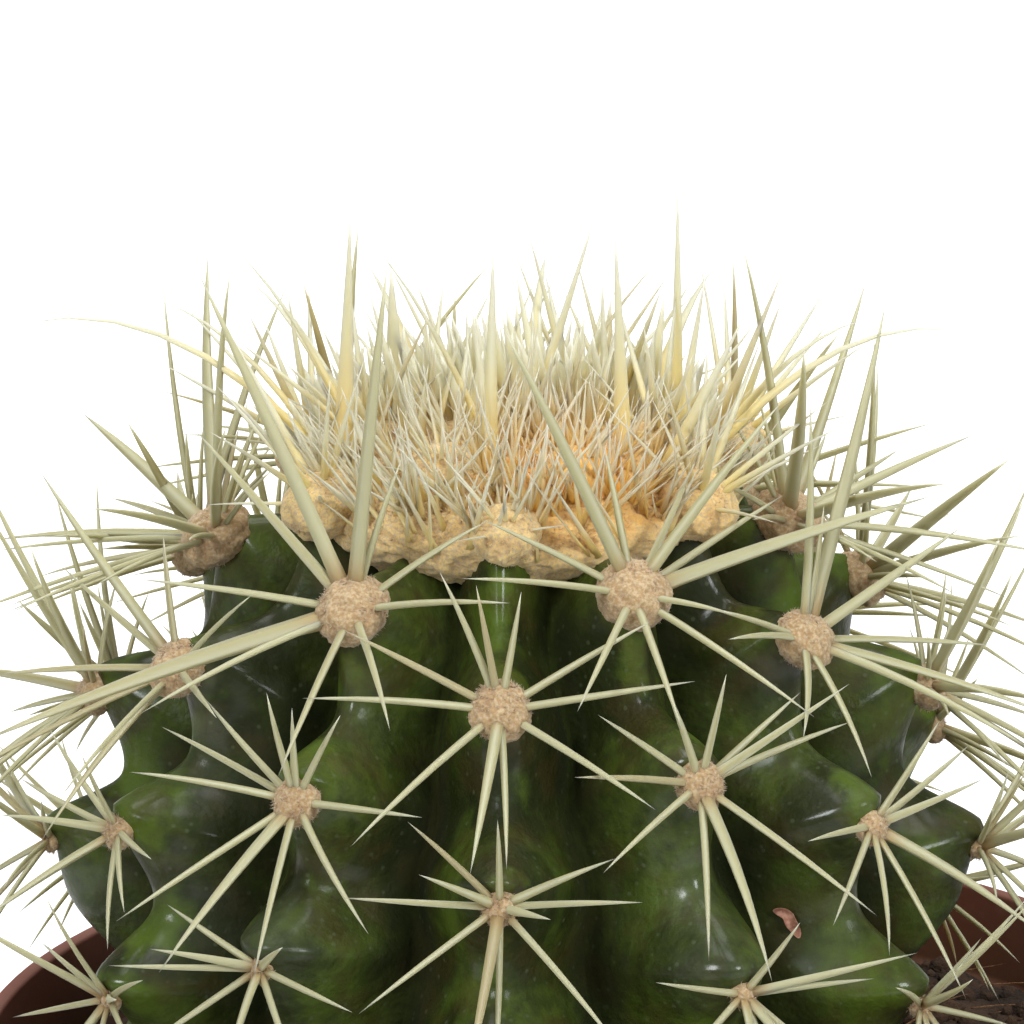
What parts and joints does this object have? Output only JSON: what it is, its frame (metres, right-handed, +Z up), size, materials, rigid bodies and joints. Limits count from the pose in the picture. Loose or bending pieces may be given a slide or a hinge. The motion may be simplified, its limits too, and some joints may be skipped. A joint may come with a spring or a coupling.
{
  "type": "potted round cactus",
  "caption": "Young round ribbed cactus with straw-coloured spines and a woolly crown, rooted in peat in a plain round nursery pot that stands on a flat foot.",
  "frame": {"origin": "middle of the pot's underside, on the surface the pot stands on", "axes": "+Z up, -Y towards the front that the picture shows, +X to the right as seen in the picture"},
  "size_m": [0.124, 0.12, 0.1784],
  "materials": {
    "pot_plastic": "satin",
    "peat": "matte",
    "green_skin": "satin",
    "straw_spine": "satin",
    "crown_wool": "matte"
  },
  "bodies": {
    "root": {"cactus_body": "green_skin", "crown_wool_and_spines": "crown_wool", "pot": "pot_plastic", "soil": "peat", "spines_rib_01_row_1": "straw_spine", "spines_rib_01_row_2": "straw_spine", "spines_rib_01_row_3": "straw_spine", "spines_rib_01_row_4": "straw_spine", "spines_rib_02_row_1": "straw_spine", "spines_rib_02_row_2": "straw_spine", "spines_rib_02_row_3": "straw_spine", "spines_rib_02_row_4": "straw_spine", "spines_rib_03_row_1": "straw_spine", "spines_rib_03_row_2": "straw_spine", "spines_rib_03_row_3": "straw_spine", "spines_rib_04_row_1": "straw_spine", "spines_rib_04_row_2": "straw_spine", "spines_rib_04_row_3": "straw_spine", "spines_rib_05_row_1": "straw_spine", "spines_rib_05_row_2": "straw_spine", "spines_rib_05_row_3": "straw_spine", "spines_rib_05_row_4": "straw_spine", "spines_rib_06_row_1": "straw_spine", "spines_rib_06_row_2": "straw_spine", "spines_rib_06_row_3": "straw_spine", "spines_rib_06_row_4": "straw_spine", "spines_rib_07_row_1": "straw_spine", "spines_rib_07_row_2": "straw_spine", "spines_rib_07_row_3": "straw_spine", "spines_rib_07_row_4": "straw_spine", "spines_rib_08_row_1": "straw_spine", "spines_rib_08_row_2": "straw_spine", "spines_rib_08_row_3": "straw_spine", "spines_rib_08_row_4": "straw_spine", "spines_rib_09_row_1": "straw_spine", "spines_rib_09_row_2": "straw_spine", "spines_rib_09_row_3": "straw_spine", "spines_rib_09_row_4": "straw_spine", "spines_rib_10_row_1": "straw_spine", "spines_rib_10_row_2": "straw_spine", "spines_rib_10_row_3": "straw_spine", "spines_rib_11_row_1": "straw_spine", "spines_rib_11_row_2": "straw_spine", "spines_rib_11_row_3": "straw_spine", "spines_rib_12_row_1": "straw_spine", "spines_rib_12_row_2": "straw_spine", "spines_rib_12_row_3": "straw_spine", "spines_rib_12_row_4": "straw_spine", "spines_rib_13_row_1": "straw_spine", "spines_rib_13_row_2": "straw_spine", "spines_rib_13_row_3": "straw_spine", "spines_rib_13_row_4": "straw_spine"}
  },
  "joints": []
}
